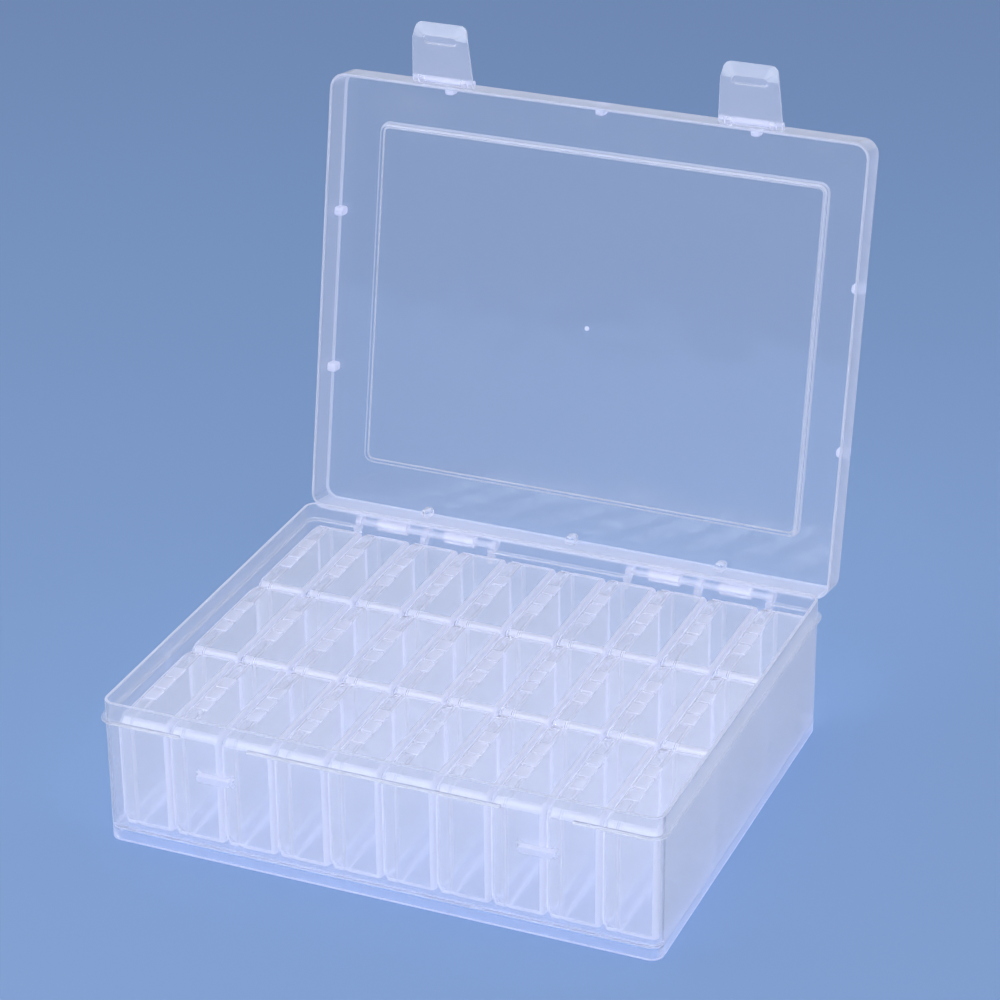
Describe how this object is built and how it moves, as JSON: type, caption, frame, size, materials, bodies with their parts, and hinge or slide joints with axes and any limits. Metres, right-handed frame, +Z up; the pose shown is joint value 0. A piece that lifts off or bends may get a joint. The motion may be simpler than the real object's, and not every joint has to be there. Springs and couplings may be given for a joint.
{
  "type": "bead storage box",
  "caption": "Translucent case with a hinged lid and front latches, holding rows of small upright flip boxes for beads.",
  "frame": {"origin": "centre of the case's underside, in the plane of its foot", "axes": "+Z up, +X to the right and -Y to the front, seen from the side with the latches; the lid is stored open"},
  "size_m": [0.274, 0.2814, 0.3166],
  "materials": {
    "case": "translucent, smooth",
    "lid": "translucent, smooth",
    "latch": "translucent, smooth",
    "small_box": "translucent, smooth",
    "small_cap": "translucent, smooth"
  },
  "bodies": {
    "case": {"case_base": "case"},
    "lid": {"case_lid": "lid"},
    "latch_left": {"latch_left": "latch"},
    "latch_right": {"latch_right": "latch"},
    "box_front_1": {"box_front_1_tray": "small_box", "box_front_1_cap": "small_cap"},
    "box_front_2": {"box_front_2_tray": "small_box", "box_front_2_cap": "small_cap"},
    "box_front_3": {"box_front_3_tray": "small_box", "box_front_3_cap": "small_cap"},
    "box_front_4": {"box_front_4_tray": "small_box", "box_front_4_cap": "small_cap"},
    "box_front_5": {"box_front_5_tray": "small_box", "box_front_5_cap": "small_cap"},
    "box_front_6": {"box_front_6_tray": "small_box", "box_front_6_cap": "small_cap"},
    "box_front_7": {"box_front_7_tray": "small_box", "box_front_7_cap": "small_cap"},
    "box_front_8": {"box_front_8_tray": "small_box", "box_front_8_cap": "small_cap"},
    "box_front_9": {"box_front_9_tray": "small_box", "box_front_9_cap": "small_cap"},
    "box_front_10": {"box_front_10_tray": "small_box", "box_front_10_cap": "small_cap"},
    "box_middle_1": {"box_middle_1_tray": "small_box", "box_middle_1_cap": "small_cap"},
    "box_middle_2": {"box_middle_2_tray": "small_box", "box_middle_2_cap": "small_cap"},
    "box_middle_3": {"box_middle_3_tray": "small_box", "box_middle_3_cap": "small_cap"},
    "box_middle_4": {"box_middle_4_tray": "small_box", "box_middle_4_cap": "small_cap"},
    "box_middle_5": {"box_middle_5_tray": "small_box", "box_middle_5_cap": "small_cap"},
    "box_middle_6": {"box_middle_6_tray": "small_box", "box_middle_6_cap": "small_cap"},
    "box_middle_7": {"box_middle_7_tray": "small_box", "box_middle_7_cap": "small_cap"},
    "box_middle_8": {"box_middle_8_tray": "small_box", "box_middle_8_cap": "small_cap"},
    "box_middle_9": {"box_middle_9_tray": "small_box", "box_middle_9_cap": "small_cap"},
    "box_middle_10": {"box_middle_10_tray": "small_box", "box_middle_10_cap": "small_cap"},
    "box_back_1": {"box_back_1_tray": "small_box", "box_back_1_cap": "small_cap"},
    "box_back_2": {"box_back_2_tray": "small_box", "box_back_2_cap": "small_cap"},
    "box_back_3": {"box_back_3_tray": "small_box", "box_back_3_cap": "small_cap"},
    "box_back_4": {"box_back_4_tray": "small_box", "box_back_4_cap": "small_cap"},
    "box_back_5": {"box_back_5_tray": "small_box", "box_back_5_cap": "small_cap"},
    "box_back_6": {"box_back_6_tray": "small_box", "box_back_6_cap": "small_cap"},
    "box_back_7": {"box_back_7": "small_box"},
    "box_back_8": {"box_back_8": "small_box"},
    "box_back_9": {"box_back_9": "small_box"},
    "box_back_10": {"box_back_10": "small_box"}
  },
  "joints": [
    {"name": "lid_hinge", "type": "hinge", "parent": "case", "child": "lid", "pos_m": [0, 0.1139, 0.0638], "axis": [-1, 0, 0], "range_deg": [-100, 0]},
    {"name": "latch_left_hinge", "type": "hinge", "parent": "lid", "child": "latch_left", "pos_m": [-0.078, 0.15621, 0.28702], "axis": [-1, 0, 0], "range_deg": [-73, 62]},
    {"name": "latch_right_hinge", "type": "hinge", "parent": "lid", "child": "latch_right", "pos_m": [0.078, 0.15621, 0.28702], "axis": [-1, 0, 0], "range_deg": [-73, 62]},
    {"name": "box_front_1_lift", "type": "slide", "parent": "case", "child": "box_front_1", "axis": [0, 0, 1], "range_m": [0, 0.07]},
    {"name": "box_front_2_lift", "type": "slide", "parent": "case", "child": "box_front_2", "axis": [0, 0, 1], "range_m": [0, 0.07]},
    {"name": "box_front_3_lift", "type": "slide", "parent": "case", "child": "box_front_3", "axis": [0, 0, 1], "range_m": [0, 0.07]},
    {"name": "box_front_4_lift", "type": "slide", "parent": "case", "child": "box_front_4", "axis": [0, 0, 1], "range_m": [0, 0.07]},
    {"name": "box_front_5_lift", "type": "slide", "parent": "case", "child": "box_front_5", "axis": [0, 0, 1], "range_m": [0, 0.07]},
    {"name": "box_front_6_lift", "type": "slide", "parent": "case", "child": "box_front_6", "axis": [0, 0, 1], "range_m": [0, 0.07]},
    {"name": "box_front_7_lift", "type": "slide", "parent": "case", "child": "box_front_7", "axis": [0, 0, 1], "range_m": [0, 0.07]},
    {"name": "box_front_8_lift", "type": "slide", "parent": "case", "child": "box_front_8", "axis": [0, 0, 1], "range_m": [0, 0.07]},
    {"name": "box_front_9_lift", "type": "slide", "parent": "case", "child": "box_front_9", "axis": [0, 0, 1], "range_m": [0, 0.07]},
    {"name": "box_front_10_lift", "type": "slide", "parent": "case", "child": "box_front_10", "axis": [0, 0, 1], "range_m": [0, 0.07]},
    {"name": "box_middle_1_lift", "type": "slide", "parent": "case", "child": "box_middle_1", "axis": [0, 0, 1], "range_m": [0, 0.07]},
    {"name": "box_middle_2_lift", "type": "slide", "parent": "case", "child": "box_middle_2", "axis": [0, 0, 1], "range_m": [0, 0.07]},
    {"name": "box_middle_3_lift", "type": "slide", "parent": "case", "child": "box_middle_3", "axis": [0, 0, 1], "range_m": [0, 0.07]},
    {"name": "box_middle_4_lift", "type": "slide", "parent": "case", "child": "box_middle_4", "axis": [0, 0, 1], "range_m": [0, 0.07]},
    {"name": "box_middle_5_lift", "type": "slide", "parent": "case", "child": "box_middle_5", "axis": [0, 0, 1], "range_m": [0, 0.07]},
    {"name": "box_middle_6_lift", "type": "slide", "parent": "case", "child": "box_middle_6", "axis": [0, 0, 1], "range_m": [0, 0.07]},
    {"name": "box_middle_7_lift", "type": "slide", "parent": "case", "child": "box_middle_7", "axis": [0, 0, 1], "range_m": [0, 0.07]},
    {"name": "box_middle_8_lift", "type": "slide", "parent": "case", "child": "box_middle_8", "axis": [0, 0, 1], "range_m": [0, 0.07]},
    {"name": "box_middle_9_lift", "type": "slide", "parent": "case", "child": "box_middle_9", "axis": [0, 0, 1], "range_m": [0, 0.07]},
    {"name": "box_middle_10_lift", "type": "slide", "parent": "case", "child": "box_middle_10", "axis": [0, 0, 1], "range_m": [0, 0.07]},
    {"name": "box_back_1_lift", "type": "slide", "parent": "case", "child": "box_back_1", "axis": [0, 0, 1], "range_m": [0, 0.07]},
    {"name": "box_back_2_lift", "type": "slide", "parent": "case", "child": "box_back_2", "axis": [0, 0, 1], "range_m": [0, 0.07]},
    {"name": "box_back_3_lift", "type": "slide", "parent": "case", "child": "box_back_3", "axis": [0, 0, 1], "range_m": [0, 0.07]},
    {"name": "box_back_4_lift", "type": "slide", "parent": "case", "child": "box_back_4", "axis": [0, 0, 1], "range_m": [0, 0.07]},
    {"name": "box_back_5_lift", "type": "slide", "parent": "case", "child": "box_back_5", "axis": [0, 0, 1], "range_m": [0, 0.07]},
    {"name": "box_back_6_lift", "type": "slide", "parent": "case", "child": "box_back_6", "axis": [0, 0, 1], "range_m": [0, 0.07]},
    {"name": "box_back_7_lift", "type": "slide", "parent": "case", "child": "box_back_7", "axis": [0, 0, 1], "range_m": [0, 0.07]},
    {"name": "box_back_8_lift", "type": "slide", "parent": "case", "child": "box_back_8", "axis": [0, 0, 1], "range_m": [0, 0.07]},
    {"name": "box_back_9_lift", "type": "slide", "parent": "case", "child": "box_back_9", "axis": [0, 0, 1], "range_m": [0, 0.07]},
    {"name": "box_back_10_lift", "type": "slide", "parent": "case", "child": "box_back_10", "axis": [0, 0, 1], "range_m": [0, 0.07]}
  ]
}
